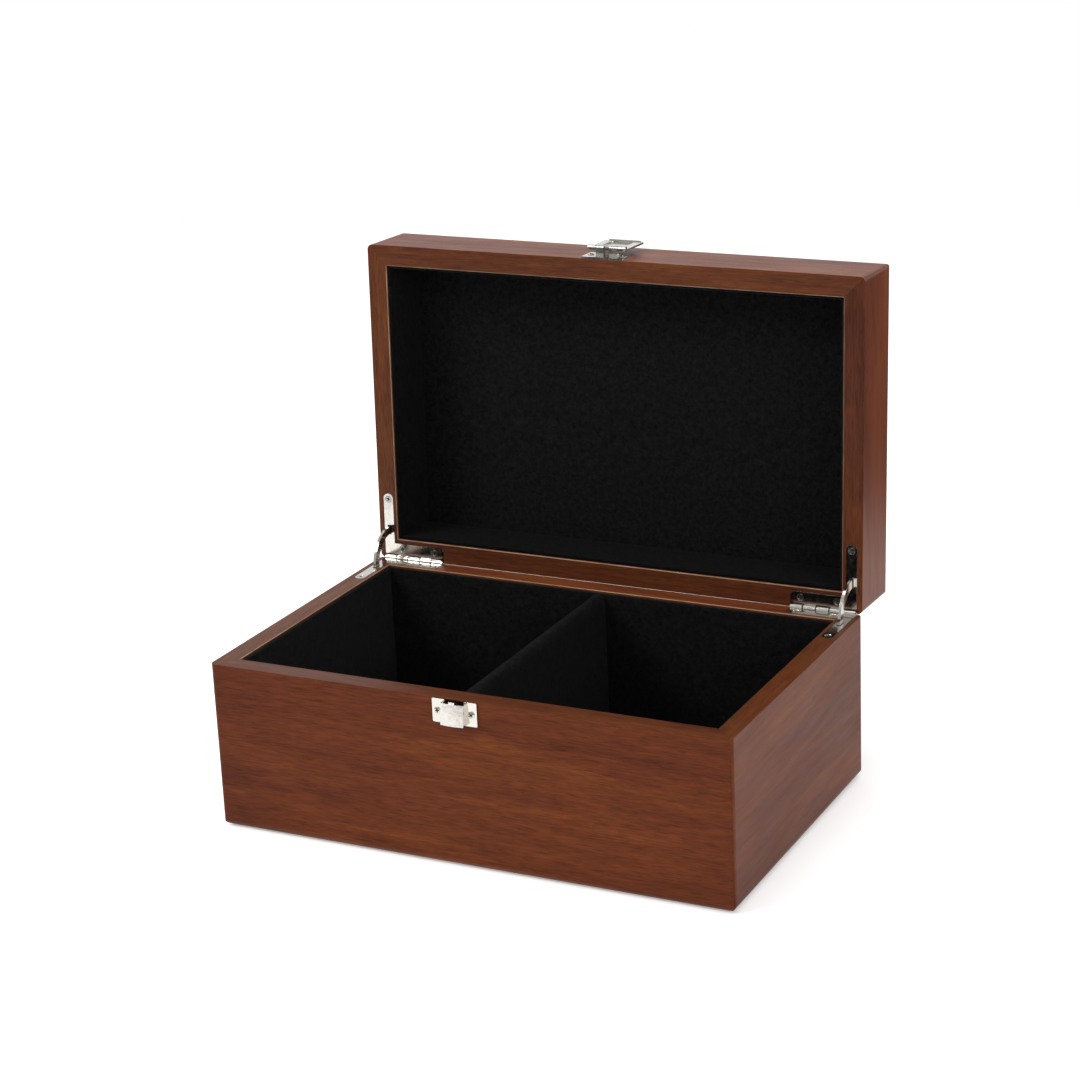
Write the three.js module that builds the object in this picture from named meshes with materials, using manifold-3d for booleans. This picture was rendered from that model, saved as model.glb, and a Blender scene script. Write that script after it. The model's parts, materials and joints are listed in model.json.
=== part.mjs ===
// A wooden chip case: a mitred box with a hinged lid, two felt-lined compartments,
// quadrant hinges let into the rims and a hasp catch at the front.
// Millimetres. X runs to the right, Y to the back, Z up. The origin is the centre of
// the underside. The lid is drawn closed, then turned open about the hinge axis.
import * as THREE from 'three';
import { mergeVertices } from 'three/addons/utils/BufferGeometryUtils.js';
import Module from 'manifold-3d';

// Driving dimensions of the box.
const WIDTH = 280;
const DEPTH = 174;
const BASE_HEIGHT = 88;
const LID_HEIGHT = 39;
const WALL = 11;
const CORNER_RADIUS = 2.8;
const BASE_EDGE_RADIUS = 5.2;
const LID_EDGE_RADIUS = 4;
const PANEL = 4.5;
const PANEL_REBATE = 5;
const RIM_GAP = 0.1;
const LID_OPEN_DEG = 92;
const GLUE_GAP = 0.05;

// Felt-covered lining and the divider, which stands a little left of the middle.
const LINER = 1.5;
const LINER_DROP = 1.2;
const LINER_GAP = 0.1;
const MIDLINE_X = -2;
const DIVIDER_BOARD = 5;
const DIVIDER_WIDTH = 8;
const DIVIDER_DROP = 1;

// Quadrant hinges, measured from the box's side and from the hinge axis.
const LEAF = 1.5;
const LEAF_FIT = 0.2;
const HINGE_START = 3;
const HINGE_END = 39;
const SIDE_LEG_INNER = 8.8;
const SIDE_LEG_REACH = 36.5;
const BACK_LEG_REACH = 8.4;
const LEAF_BACK_EDGE = 2.4;
const BARREL_RADIUS = 1.8;
const BARREL_BORE = 1.0;
const BARREL_RELIEF = 2.3;
const PIN_RADIUS = 0.8;
const KNUCKLES = 5;
const KNUCKLE_GAP = 0.7;
const LEAF_RELIEF = 0.5;
const PIN_INSET = 0.3;
const ARM_X = 5.9;
const ARM_THICK = 1.5;
const ARM_RADIUS = 16;
const ARM_WIDTH = 4.2;
const ARM_HEAD_WIDTH = 6.8;
const ARM_OVERRUN_DEG = 12;
const ARM_HEAD_DEG = 3.5;
const ARM_FIT = 0.35;
const ARM_SLOT_ROOM = 0.6;
const SCREW_SPOTS = [[5.9, 33.3], [13.5, 5.6], [33.5, 5.6]];
const SCREW = { head: 1.65, shank: 0.75, length: 8.5, countersink: 1.1, sunk: 0.05 };
const SCREW_HOLE_ROOM = 0.25;
const PILOT_RADIUS = 1.1;
const PILOT_END_ROOM = 0.4;
const RECESS = { reach: 1.1, half: 0.32, depth: 0.7 };

// Catch plate on the base and hasp on the lid, both centred on MIDLINE_X. The tongue
// hangs from a neck at the plate's top edge and stands further out towards its foot.
const PLATE = 1;
const PLATE_WIDTH = 24;
const PLATE_HEIGHT = 12.2;
const PLATE_CORNER = 0.8;
const PLATE_DROP = 0.1;
const PLATE_SCREW_X = 9.1;
const PLATE_SCREW = { head: 1.8, shank: 0.75, length: 6, seat: 0.02, dome: 0.6, hole: 1.15, pilot: 7 };
const SCREW_DOME = [[1, 0.25], [0.8, 0.5], [0.45, 0.92], [0, 1]];
const TONGUE_RUN = 30;
const TONGUE_HALF = 6.15;
const TONGUE_SHELL = 0.9;
const TONGUE_TOP_DROP = 1.1;
const TONGUE_FOOT_RISE = 0.3;
const TONGUE_TOP_OUT = 3.3;
const TONGUE_FOOT_OUT = 4.4;
const TONGUE_BOW = 0.6;
const NECK_HALF = 1.6;
const NECK_SINK = 0.1;
const NECK_LAP = 0.6;
const NOTCH_DEPTH = 2.4;
const POCKET = { top: 0.5, bottom: 3.2, depth: 2.5 };
const HASP_PIN_OUT = 4.85;
const HASP_PIN_BACK = 6.8;
const HASP_PIN_RADIUS = 0.6;
const HASP_PIN_INSET = 0.6;
const HASP_BORE = 0.75;
const HASP_KNUCKLE = 1.3;
const EAR_INNER = 1.7;
const EAR_OUTER = 6;
const EAR_ROOM = 0.3;
const FLAP_WIDTH = 21.6;
const FLAP_LENGTH = 22.6;
const FLAP_THICK = 0.9;
const FLAP_SET_BACK = 1.05;
const FLAP_CORNERS = { pinSide: 1.2, endSide: 1.8 };
const FLAP_KNUCKLE_INSET = 0.2;
const FLAP_TRAY = { half: 7.2, start: 3, depth: 0.8, wall: 0.72, corner: 1, sink: 0.1 };
const FLAP_LIP = 0.5;

const ROUND_STEPS = 24;
const wasm = await Module();
wasm.setup();

// ---- solids -------------------------------------------------------------------

function toSolid(geometry) {
  const bare = geometry.index ? geometry.toNonIndexed() : geometry.clone();
  bare.deleteAttribute('normal');
  bare.deleteAttribute('uv');
  const merged = mergeVertices(bare, 1e-4);
  const mesh = new wasm.Mesh({
    numProp: 3,
    vertProperties: new Float32Array(merged.attributes.position.array),
    triVerts: new Uint32Array(merged.index.array),
  });
  return new wasm.Manifold(mesh);
}

function toGeometry(solid) {
  const mesh = solid.getMesh();
  const geometry = new THREE.BufferGeometry();
  geometry.setAttribute('position', new THREE.BufferAttribute(mesh.vertProperties, 3));
  geometry.setIndex(new THREE.BufferAttribute(mesh.triVerts, 1));
  const flat = geometry.toNonIndexed();
  flat.computeVertexNormals();
  return flat;
}

// A block between two corners.
function block(x0, x1, y0, y1, z0, z1) {
  const geometry = new THREE.BoxGeometry(x1 - x0, y1 - y0, z1 - z0);
  return toSolid(geometry.translate((x0 + x1) / 2, (y0 + y1) / 2, (z0 + z1) / 2));
}

// A cylinder along X between two stations, centred on (y, z).
function rodAlongX(x0, x1, y, z, radius, steps = ROUND_STEPS) {
  const geometry = new THREE.CylinderGeometry(radius, radius, x1 - x0, steps);
  geometry.rotateZ(Math.PI / 2);
  return toSolid(geometry.translate((x0 + x1) / 2, y, z));
}

// A solid of revolution about Z from [radius, height] pairs that start and end on the axis.
function turned(profile, steps = ROUND_STEPS) {
  const points = profile.map(([radius, height]) => new THREE.Vector2(radius, height));
  return toSolid(new THREE.LatheGeometry(points, steps).rotateX(Math.PI / 2));
}

// A plan outline raised from z0 to z1.
function raised(outline, z0, z1, curveSegments = 6) {
  const options = { depth: z1 - z0, bevelEnabled: false, curveSegments };
  return toSolid(new THREE.ExtrudeGeometry(outline, options).translate(0, 0, z0));
}

function polygon(points) {
  return new THREE.Shape(points.map(([x, y]) => new THREE.Vector2(x, y)));
}

// A rectangle with its own radius at the two low corners and at the two high corners.
function roundedRectangle(x0, x1, y0, y1, lowRadius, highRadius) {
  const shape = new THREE.Shape();
  shape.moveTo(x0 + lowRadius, y0);
  shape.lineTo(x1 - lowRadius, y0);
  if (lowRadius) shape.absarc(x1 - lowRadius, y0 + lowRadius, lowRadius, -Math.PI / 2, 0, false);
  shape.lineTo(x1, y1 - highRadius);
  if (highRadius) shape.absarc(x1 - highRadius, y1 - highRadius, highRadius, 0, Math.PI / 2, false);
  shape.lineTo(x0 + highRadius, y1);
  if (highRadius) shape.absarc(x0 + highRadius, y1 - highRadius, highRadius, Math.PI / 2, Math.PI, false);
  shape.lineTo(x0, y0 + lowRadius);
  if (lowRadius) shape.absarc(x0 + lowRadius, y0 + lowRadius, lowRadius, Math.PI, 1.5 * Math.PI, false);
  return shape;
}

const moved = (solid, x, y, z) => solid.translate([x, y, z]);
const turnedBy = (solid, x, y, z) => solid.rotate([x, y, z]);
const cutAll = (solid, cutters) => cutters.reduce((rest, cutter) => rest.subtract(cutter), solid);
const joinAll = (solids) => solids.reduce((all, solid) => all.add(solid));

// ---- materials and nodes --------------------------------------------------------

function material(color, roughness, metalness = 0) {
  return () => new THREE.MeshStandardMaterial({ color, roughness, metalness });
}
const mahogany = material(0x69321e, 0.35);
const veneeredPanel = material(0x69321e, 0.35);
const felt = material(0x0b0b0c, 1.0);
const board = material(0x9a8468, 0.9);
const nickel = material(0xc9c6c0, 0.18, 1);
const steel = material(0xb4b2ae, 0.3, 1);

const chipCase = new THREE.Group();
const lidPivot = new THREE.Group();
const lidGroup = new THREE.Group();
const AXIS_Y = DEPTH / 2;
const AXIS_Z = BASE_HEIGHT + RIM_GAP / 2;
const LID_RIM = BASE_HEIGHT + RIM_GAP;

lidPivot.position.set(0, AXIS_Y, AXIS_Z);
lidPivot.rotation.x = -THREE.MathUtils.degToRad(LID_OPEN_DEG);
lidGroup.position.set(0, -AXIS_Y, -AXIS_Z);
lidPivot.add(lidGroup);
chipCase.add(lidPivot);

function node(name, solid, makeMaterial, group = chipCase) {
  const mesh = new THREE.Mesh(toGeometry(solid), makeMaterial());
  mesh.name = name;
  group.add(mesh);
}

// ---- hinges ---------------------------------------------------------------------

// Everything about a hinge is drawn for the left side and mirrored for the right.
// flip = false is the base's half, which hangs below the axis plane; flip = true turns
// the same half over into the lid's.
const sides = [{ name: 'left', sign: -1 }, { name: 'right', sign: 1 }];

function atSide(solid, sign) {
  const left = moved(solid, -WIDTH / 2, AXIS_Y, AXIS_Z);
  return sign < 0 ? left : left.mirror([1, 0, 0]);
}

const flipped = (solid, flip) => (flip ? solid.mirror([0, 0, 1]) : solid);

function leafOutline(grow) {
  const legRadius = (SIDE_LEG_INNER - HINGE_START) / 2 + grow;
  const legX = (SIDE_LEG_INNER + HINGE_START) / 2;
  const front = -SIDE_LEG_REACH + legRadius - grow;
  const endRadius = (BACK_LEG_REACH - LEAF_BACK_EDGE) / 2 + grow;
  const endX = HINGE_END - endRadius + grow;
  const middleY = -(BACK_LEG_REACH + LEAF_BACK_EDGE) / 2;
  const shape = new THREE.Shape();
  shape.moveTo(HINGE_START - grow, -LEAF_BACK_EDGE + grow);
  shape.lineTo(HINGE_START - grow, front);
  shape.absarc(legX, front, legRadius, Math.PI, 2 * Math.PI, false);
  shape.lineTo(SIDE_LEG_INNER + grow, -BACK_LEG_REACH - grow);
  shape.lineTo(endX, -BACK_LEG_REACH - grow);
  shape.absarc(endX, middleY, endRadius, -Math.PI / 2, Math.PI / 2, false);
  return shape;
}

const knucklePitch = (HINGE_END - HINGE_START) / KNUCKLES;

function knuckleSpans(first) {
  const spans = [];
  for (let index = first; index < KNUCKLES; index += 2) {
    const start = HINGE_START + index * knucklePitch;
    spans.push([start + KNUCKLE_GAP / 2, start + knucklePitch - KNUCKLE_GAP / 2]);
  }
  return spans;
}

// The radial section of the quadrant arm, between two angles below and above the rim.
function sector(inner, outer, fromDeg, toDeg, x0, x1, steps) {
  const from = THREE.MathUtils.degToRad(fromDeg);
  const to = THREE.MathUtils.degToRad(toDeg);
  const shape = new THREE.Shape();
  shape.absarc(0, 0, outer, from, to, false);
  shape.absarc(0, 0, inner, to, from, true);
  const geometry = new THREE.ExtrudeGeometry(shape, {
    depth: x1 - x0, bevelEnabled: false, curveSegments: steps,
  });
  // The outline's x is the distance towards the front and its y is the height.
  geometry.applyMatrix4(new THREE.Matrix4().makeBasis(
    new THREE.Vector3(0, -1, 0), new THREE.Vector3(0, 0, 1), new THREE.Vector3(-1, 0, 0)));
  return toSolid(geometry.translate(x1, 0, 0));
}

function quadrantArm() {
  const half = ARM_WIDTH / 2;
  const headHalf = ARM_HEAD_WIDTH / 2;
  const x0 = ARM_X - ARM_THICK / 2;
  const x1 = ARM_X + ARM_THICK / 2;
  const low = -ARM_OVERRUN_DEG;
  const high = LID_OPEN_DEG + ARM_OVERRUN_DEG;
  const bow = sector(ARM_RADIUS - half, ARM_RADIUS + half, low, high, x0, x1, 32);
  const head = (from) => sector(ARM_RADIUS - headHalf, ARM_RADIUS + headHalf,
    from, from + ARM_HEAD_DEG, x0, x1, 2);
  return joinAll([bow, head(low), head(high - ARM_HEAD_DEG)]);
}

function armSlot(radialHalf, depth) {
  const near = ARM_RADIUS - radialHalf;
  const far = ARM_RADIUS + radialHalf;
  const half = ARM_THICK / 2 + ARM_FIT;
  return block(ARM_X - half, ARM_X + half, -far, -near, -depth, 1);
}

const leafFace = -RIM_GAP / 2;
const leafUnder = leafFace - LEAF;

// A countersunk hole, or the screw that sits in it, with its axis on the origin.
function screwShape(grow, above, length) {
  const head = SCREW.head + grow;
  const shank = SCREW.shank + grow;
  return turned([[0, -length], [shank, -length], [shank, -SCREW.countersink - grow],
    [head, 0], [head, above], [0, above]], 16);
}

// A cross recess, cut down from z = 0 and turned by an angle.
function crossRecess(turnDeg) {
  const bar = block(-RECESS.reach, RECESS.reach, -RECESS.half, RECESS.half, -RECESS.depth, 1);
  return turnedBy(bar.add(turnedBy(bar, 0, 0, 90)), 0, 0, turnDeg);
}

function countersunkScrew(turnDeg) {
  return screwShape(0, 0.001, SCREW.length).subtract(crossRecess(turnDeg));
}

function hingeLeaf(firstKnuckle) {
  let leaf = raised(leafOutline(0), leafUnder, leafFace, 8);
  for (const [start, end] of knuckleSpans(firstKnuckle)) {
    leaf = leaf.add(block(start, end, -LEAF_BACK_EDGE - LEAF_RELIEF, 0, leafUnder, leafFace));
    leaf = leaf.add(rodAlongX(start, end, 0, 0, BARREL_RADIUS));
  }
  const cutters = [
    rodAlongX(HINGE_START - 1, HINGE_END + 1, 0, 0, BARREL_BORE),
    armSlot(ARM_WIDTH / 2 + ARM_SLOT_ROOM, LEAF + 1),
    ...SCREW_SPOTS.map(([x, y]) => moved(screwShape(SCREW_HOLE_ROOM, 1, LEAF + 2), x, -y, leafFace)),
  ];
  return cutAll(leaf, cutters);
}

// What a hinge half takes out of the wood: the leaf's bed, the barrel's groove, the
// arm's mortise and the screws' pilot holes.
function hingeMortise() {
  const bed = raised(leafOutline(LEAF_FIT), leafUnder - LEAF_FIT, 2, 8);
  const edge = block(HINGE_START - LEAF_FIT, HINGE_END + LEAF_FIT,
    -LEAF_BACK_EDGE - 1, 4, leafUnder - LEAF_FIT, 2);
  const groove = rodAlongX(HINGE_START - LEAF_FIT, HINGE_END + LEAF_FIT, 0, 0, BARREL_RELIEF);
  const reachAngle = THREE.MathUtils.degToRad(LID_OPEN_DEG / 2 + ARM_OVERRUN_DEG);
  const farRadius = ARM_RADIUS + ARM_HEAD_WIDTH / 2 + ARM_FIT;
  const nearRadius = ARM_RADIUS - ARM_HEAD_WIDTH / 2 - ARM_FIT;
  const half = ARM_THICK / 2 + ARM_FIT;
  const mortise = block(ARM_X - half, ARM_X + half, -farRadius,
    -nearRadius * Math.cos(reachAngle), -farRadius * Math.sin(reachAngle) - ARM_FIT, 1);
  const bottom = -SCREW.length - PILOT_END_ROOM;
  const pilot = turned([[0, bottom], [PILOT_RADIUS, bottom], [PILOT_RADIUS, 0], [0, 0]], 12);
  const pilots = SCREW_SPOTS.map(([x, y]) => moved(pilot, x, -y, leafFace));
  return joinAll([bed, edge, groove, mortise, ...pilots]);
}

// ---- wooden shells ----------------------------------------------------------------

// The outside of a half: a block with rounded upright corners and rounded edges at its
// closed end, which is the bottom of the base or the top of the lid.
function shellBlock(z0, z1, closedEndUp) {
  const x = WIDTH / 2;
  const y = DEPTH / 2;
  const low = closedEndUp ? 0 : BASE_EDGE_RADIUS;
  const high = closedEndUp ? LID_EDGE_RADIUS : 0;
  const plan = raised(roundedRectangle(-x, x, -y, y, CORNER_RADIUS, CORNER_RADIUS), z0, z1);
  const front = raised(roundedRectangle(-x, x, z0, z1, low, high), -y, y);
  const side = raised(roundedRectangle(-y, y, z0, z1, low, high), -x, x);
  // Stand the two elevations up: the front's outline lies in XZ and the side's in YZ.
  const standingFront = turnedBy(front, 90, 0, 0);
  const standingSide = turnedBy(side, 90, 0, 90);
  return plan.intersect(standingFront).intersect(standingSide);
}

// The mitred quarter of the plan that one wall takes up.
function mitreWedge(wall, z0, z1) {
  const x = WIDTH / 2 + 1;
  const y = DEPTH / 2 + 1;
  const inset = WALL + 2;
  const g = GLUE_GAP / Math.SQRT2;
  const front = [[-x + g, -y], [x - g, -y], [x - inset - g, -y + inset], [-x + inset + g, -y + inset]];
  const left = [[-x, -y + g], [-x + inset, -y + inset + g], [-x + inset, y - inset - g], [-x, y - g]];
  const outlines = {
    front,
    back: front.map(([px, py]) => [px, -py]).reverse(),
    left: left.reverse(),
    right: left.map(([px, py]) => [-px, py]).reverse(),
  };
  return raised(polygon(outlines[wall]), z0 - 1, z1 + 1);
}

const rebateX = WIDTH / 2 - WALL + PANEL_REBATE;
const rebateY = DEPTH / 2 - WALL + PANEL_REBATE;

function walls(prefix, z0, z1, closedEndUp, cutters, group) {
  const innerX = WIDTH / 2 - WALL;
  const innerY = DEPTH / 2 - WALL;
  const rebate = closedEndUp
    ? block(-rebateX, rebateX, -rebateY, rebateY, z1 - PANEL, z1 + 1)
    : block(-rebateX, rebateX, -rebateY, rebateY, z0 - 1, z0 + PANEL);
  const well = block(-innerX, innerX, -innerY, innerY, z0 - 1, z1 + 1);
  const ring = cutAll(shellBlock(z0, z1, closedEndUp), [well, rebate, ...cutters]);
  for (const wall of ['front', 'back', 'left', 'right']) {
    node(`${prefix}_${wall}_wall`, ring.intersect(mitreWedge(wall, z0, z1)), mahogany, group);
  }
}

function panel(name, z0, z1, group) {
  const x = rebateX - GLUE_GAP;
  const y = rebateY - GLUE_GAP;
  node(name, block(-x, x, -y, y, z0, z1), veneeredPanel, group);
}

// Four felt-covered cards that line the walls, between two heights.
function liners(prefix, z0, z1, group) {
  const x = WIDTH / 2 - WALL - LINER_GAP;
  const y = DEPTH / 2 - WALL - LINER_GAP;
  const sideY = y - LINER - LINER_GAP;
  const spans = {
    front: [-x, x, -y, -y + LINER],
    back: [-x, x, y - LINER, y],
    left: [-x, -x + LINER, -sideY, sideY],
    right: [x - LINER, x, -sideY, sideY],
  };
  for (const [side, [x0, x1, y0, y1]] of Object.entries(spans)) {
    node(`${prefix}_${side}_liner`, block(x0, x1, y0, y1, z0, z1), felt, group);
  }
}

const linedX = WIDTH / 2 - WALL - LINER - 3 * LINER_GAP;
const linedY = DEPTH / 2 - WALL - LINER - 3 * LINER_GAP;

// ---- catch and hasp ----------------------------------------------------------------

// Plates are drawn lying down: x across, y up the wall and z out of it, centred on their
// middle, then stood up against the front face at a height.
function onFront(solid, height) {
  return moved(turnedBy(solid, 90, 0, 0), MIDLINE_X, -DEPTH / 2, height);
}

function plateBlank() {
  const x = PLATE_WIDTH / 2;
  const y = PLATE_HEIGHT / 2;
  return raised(roundedRectangle(-x, x, -y, y, PLATE_CORNER, PLATE_CORNER), 0, PLATE, 4);
}

const plateScrewHoles = [-1, 1].map((side) => moved(
  turned([[0, -1], [PLATE_SCREW.hole, -1], [PLATE_SCREW.hole, 3], [0, 3]], 16),
  side * PLATE_SCREW_X, 0, 0));

function platePilots(height) {
  const bottom = -PLATE_SCREW.pilot;
  const pilot = turned([[0, bottom], [PILOT_RADIUS, bottom], [PILOT_RADIUS, 1], [0, 1]], 12);
  return [-1, 1].map((side) => onFront(moved(pilot, side * PLATE_SCREW_X, 0, 0), height));
}

// A low domed screw whose head rests on the plate.
function plateScrew(turnDeg) {
  const { head, shank, length, dome } = PLATE_SCREW;
  const seat = PLATE + PLATE_SCREW.seat;
  const domed = SCREW_DOME.map(([out, up]) => [head * out, seat + dome * up]);
  const body = turned([[0, -length], [shank, -length], [shank, seat], [head, seat], ...domed], 20);
  return body.subtract(moved(crossRecess(turnDeg), 0, 0, seat + dome));
}

// The catch plate with its tongue: a bowed shell with side walls, open at its top and its
// foot, hung from a narrow neck between two notches in the plate's top edge.
function catchPlate() {
  const plateTop = PLATE_HEIGHT / 2;
  const top = plateTop - TONGUE_TOP_DROP;
  const foot = -plateTop + TONGUE_FOOT_RISE;
  const bowed = (half, side) => {
    const shape = new THREE.Shape();
    shape.moveTo(-half, side);
    shape.quadraticCurveTo(0, side + 2 * TONGUE_BOW, half, side);
    shape.lineTo(half, -TONGUE_RUN);
    shape.lineTo(-half, -TONGUE_RUN);
    return shape;
  };
  // The bowed section lies in x and out from the wall. It is run up the wall, then leaned
  // about the tongue's top so that the foot stands further out.
  const lean = THREE.MathUtils.radToDeg(Math.atan2(TONGUE_FOOT_OUT - TONGUE_TOP_OUT, top - foot));
  const leaned = (half, side) => {
    const run = raised(bowed(half, side), -TONGUE_RUN, TONGUE_RUN, 12);
    return moved(turnedBy(run, 90 - lean, 0, 0), 0, top, TONGUE_TOP_OUT);
  };
  const band = block(-TONGUE_HALF, TONGUE_HALF, foot, top, 0, TONGUE_FOOT_OUT + 2 * TONGUE_BOW);
  const outer = leaned(TONGUE_HALF, 0).intersect(band);
  const inner = leaned(TONGUE_HALF - TONGUE_SHELL, -TONGUE_SHELL);
  const shell = outer.subtract(inner);
  const neckOut = TONGUE_TOP_OUT + TONGUE_BOW - NECK_SINK;
  const neck = joinAll([
    block(-NECK_HALF, NECK_HALF, plateTop - TONGUE_SHELL, plateTop, 0, neckOut),
    block(-NECK_HALF, NECK_HALF, top - NECK_LAP, plateTop, neckOut - TONGUE_SHELL, neckOut),
  ]);
  const notchOuter = TONGUE_HALF - TONGUE_SHELL;
  const notches = [[-notchOuter, -NECK_HALF], [NECK_HALF, notchOuter]].map(([x0, x1]) =>
    block(x0, x1, plateTop - NOTCH_DEPTH, plateTop + 1, -1, PLATE + 0.01));
  return cutAll(plateBlank(), notches).add(shell).add(neck);
}

// The room behind the notches, sunk into the front wall.
function latchPocket(height) {
  const half = TONGUE_HALF - TONGUE_SHELL;
  const top = PLATE_HEIGHT / 2;
  return onFront(block(-half, half, top - POCKET.bottom, top - POCKET.top, -POCKET.depth, 1), height);
}

// The lid's plate with the two ears that hold the hasp's pin.
function haspPlate(plateMiddle) {
  const pinY = HASP_PIN_BACK - plateMiddle;
  const ear = (x0, x1) => joinAll([
    block(x0, x1, pinY - HASP_KNUCKLE, pinY + HASP_KNUCKLE, 0.1, HASP_PIN_OUT),
    rodAlongX(x0, x1, pinY, HASP_PIN_OUT, HASP_KNUCKLE),
  ]);
  const bore = rodAlongX(-PLATE_WIDTH, PLATE_WIDTH, pinY, HASP_PIN_OUT, HASP_BORE);
  const ears = [ear(-EAR_OUTER, -EAR_INNER), ear(EAR_INNER, EAR_OUTER)];
  return joinAll([plateBlank(), ...ears]).subtract(bore);
}

// The hasp flap, drawn flipped open, with y running back from its pin. It is a sheet with
// a pressed tray that clears the tongue, side flanges and an end lip.
function haspFlap() {
  const x = FLAP_WIDTH / 2;
  const under = HASP_PIN_OUT - FLAP_SET_BACK;
  const over = under + FLAP_THICK;
  const notch = EAR_OUTER + EAR_ROOM;
  const { pinSide, endSide } = FLAP_CORNERS;
  const outline = roundedRectangle(-x, x, -HASP_KNUCKLE, FLAP_LENGTH, pinSide, endSide);
  const tray = (inset, z0, z1) => {
    const half = FLAP_TRAY.half - inset;
    const start = FLAP_TRAY.start + inset;
    const end = FLAP_LENGTH - 2 * FLAP_THICK - inset;
    return raised(roundedRectangle(-half, half, start, end, FLAP_TRAY.corner, FLAP_TRAY.corner), z0, z1);
  };
  const trayShell = tray(0, under - FLAP_TRAY.depth, over - FLAP_TRAY.sink);
  const trayHollow = tray(FLAP_TRAY.wall, over - FLAP_TRAY.depth, over + 1);
  // The lip across the end hooks under the tongue's foot when the flap hangs down.
  const lipEnd = x - FLAP_CORNERS.endSide;
  const lip = block(-lipEnd, lipEnd, FLAP_LENGTH - FLAP_THICK, FLAP_LENGTH, under, over + FLAP_LIP);
  const knuckleEnd = x - FLAP_KNUCKLE_INSET;
  const knuckles = [[-knuckleEnd, -notch], [notch, knuckleEnd]].map(([x0, x1]) =>
    rodAlongX(x0, x1, 0, HASP_PIN_OUT, HASP_KNUCKLE));
  return cutAll(joinAll([raised(outline, under, over), trayShell, lip, ...knuckles]), [
    trayHollow,
    block(-notch, notch, -HASP_KNUCKLE - 1, HASP_KNUCKLE + EAR_ROOM, 0, 2 * HASP_PIN_OUT),
    rodAlongX(-x - 1, x + 1, 0, HASP_PIN_OUT, HASP_BORE),
  ]);
}

// ---- base --------------------------------------------------------------------------

const plateHeight = BASE_HEIGHT - PLATE_DROP - PLATE_HEIGHT / 2;
const haspPlateHeight = LID_RIM + PLATE_DROP + PLATE_HEIGHT / 2;
const haspPinHeight = LID_RIM + HASP_PIN_BACK;

const baseMortises = sides.map(({ sign }) => atSide(hingeMortise(), sign));
const frontCutters = [...platePilots(plateHeight), latchPocket(plateHeight)];
walls('base', 0, BASE_HEIGHT, false, [...baseMortises, ...frontCutters], chipCase);
panel('base_bottom_panel', 0, PANEL - GLUE_GAP, chipCase);

const padZ0 = PANEL + LINER_GAP;
const padZ1 = padZ0 + LINER;
liners('base', padZ0, BASE_HEIGHT - LINER_DROP, chipCase);

const coverX = DIVIDER_WIDTH / 2;
const padEdge = coverX + LINER_GAP;
node('floor_pad_left', block(-linedX, MIDLINE_X - padEdge, -linedY, linedY, padZ0, padZ1), felt);
node('floor_pad_right', block(MIDLINE_X + padEdge, linedX, -linedY, linedY, padZ0, padZ1), felt);

// The divider's felt cover is an upturned U over its board.
const coverTop = BASE_HEIGHT - DIVIDER_DROP;
const boardHalf = DIVIDER_BOARD / 2;
const skin = coverX - boardHalf;
const coverOutline = roundedRectangle(-coverX, coverX, padZ0, coverTop, 0, coverX - 0.01);
const boardOutline = roundedRectangle(-boardHalf, boardHalf, padZ0, coverTop - skin, 0, boardHalf - 0.01);
const slotOutline = roundedRectangle(-boardHalf - LINER_GAP, boardHalf + LINER_GAP, padZ0 - 1,
  coverTop - skin + LINER_GAP, 0, boardHalf);

function standAlongY(outline) {
  return moved(turnedBy(raised(outline, -linedY, linedY, 6), 90, 0, 0), MIDLINE_X, 0, 0);
}
node('divider_board', standAlongY(boardOutline), board);
node('divider_cover', standAlongY(coverOutline).subtract(standAlongY(slotOutline)), felt);

node('catch_plate', onFront(cutAll(catchPlate(), plateScrewHoles), plateHeight), nickel);
const plateScrewTurns = { left: 5, right: 38 };
for (const { name, sign } of sides) {
  const screw = moved(plateScrew(plateScrewTurns[name]), sign * PLATE_SCREW_X, 0, 0);
  node(`catch_screw_${name}`, onFront(screw, plateHeight), steel);
}

// ---- hinges on both halves ------------------------------------------------------------

for (const { name, sign } of sides) {
  const half = (solid, flip) => atSide(flipped(solid, flip), sign);
  node(`${name}_hinge_base_leaf`, half(hingeLeaf(0), false), nickel);
  node(`${name}_hinge_lid_leaf`, half(hingeLeaf(1), true), nickel, lidGroup);
  const pin = rodAlongX(HINGE_START + PIN_INSET, HINGE_END - PIN_INSET, 0, 0, PIN_RADIUS);
  node(`${name}_hinge_pin`, atSide(pin, sign), steel);
  node(`${name}_quadrant_arm`, atSide(quadrantArm(), sign), nickel);
  SCREW_SPOTS.forEach(([x, y], index) => {
    const screw = moved(countersunkScrew(20 + 55 * index), x, -y, leafFace - SCREW.sunk);
    node(`${name}_base_hinge_screw_${index + 1}`, half(screw, false), steel);
    node(`${name}_lid_hinge_screw_${index + 1}`, half(screw, true), steel, lidGroup);
  });
}

// ---- lid -----------------------------------------------------------------------------

const lidTop = LID_RIM + LID_HEIGHT;
const lidMortises = sides.map(({ sign }) => atSide(flipped(hingeMortise(), true), sign));
walls('lid', LID_RIM, lidTop, true, [...lidMortises, ...platePilots(haspPlateHeight)], lidGroup);
panel('lid_top_panel', lidTop - PANEL + GLUE_GAP, lidTop, lidGroup);
liners('lid', LID_RIM + LINER_DROP, lidTop - PANEL - LINER_GAP, lidGroup);
node('lid_ceiling_liner', block(-linedX, linedX, -linedY, linedY,
  lidTop - PANEL - LINER_GAP - LINER, lidTop - PANEL - LINER_GAP), felt, lidGroup);

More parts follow.
